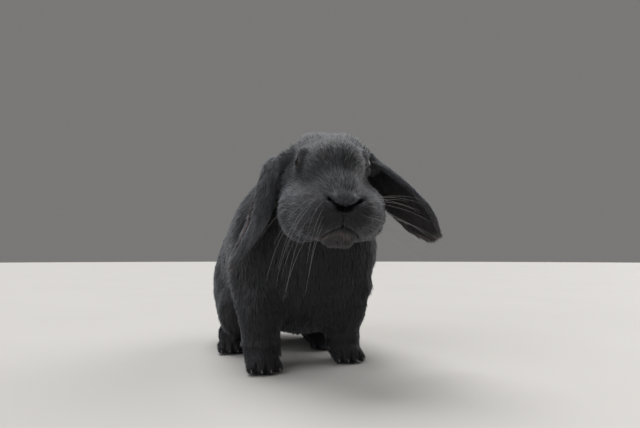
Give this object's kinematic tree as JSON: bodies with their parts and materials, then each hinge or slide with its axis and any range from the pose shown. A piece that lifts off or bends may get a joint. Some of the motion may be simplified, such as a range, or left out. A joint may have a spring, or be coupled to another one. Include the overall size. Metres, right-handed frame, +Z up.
{
  "type": "lop rabbit figure",
  "caption": "Life-size lop rabbit sitting up on straight forelegs, one ear hanging and the other held out, with a dark blue-grey coat",
  "frame": {"origin": "on the floor, under the centre of the rabbit's bounding box", "axes": "+Z up; the rabbit faces -Y, so +Y runs from its nose to its tail and +X is its left side"},
  "size_m": [0.2346, 0.427, 0.2758],
  "materials": {
    "coat": "dense matt blue-grey fur",
    "eye": "wet, very dark brown",
    "claw": "dull horn"
  },
  "bodies": {
    "root": {"claw_fore_left_1": "claw", "claw_fore_left_2": "claw", "claw_fore_left_3": "claw", "claw_fore_left_4": "claw", "claw_fore_left_5": "claw", "claw_fore_right_1": "claw", "claw_fore_right_2": "claw", "claw_fore_right_3": "claw", "claw_fore_right_4": "claw", "claw_fore_right_5": "claw", "claw_hind_left_1": "claw", "claw_hind_left_2": "claw", "claw_hind_left_3": "claw", "claw_hind_left_4": "claw", "claw_hind_right_1": "claw", "claw_hind_right_2": "claw", "claw_hind_right_3": "claw", "claw_hind_right_4": "claw", "ear_left": "coat", "ear_right": "coat", "eye_left": "eye", "eye_right": "eye", "foreleg_left": "coat", "foreleg_right": "coat", "forepaw_left": "coat", "forepaw_right": "coat", "head": "coat", "hindfoot_left": "coat", "hindfoot_right": "coat", "neck": "coat", "tail": "coat", "thigh_left": "coat", "thigh_right": "coat", "trunk": "coat"}
  },
  "joints": []
}
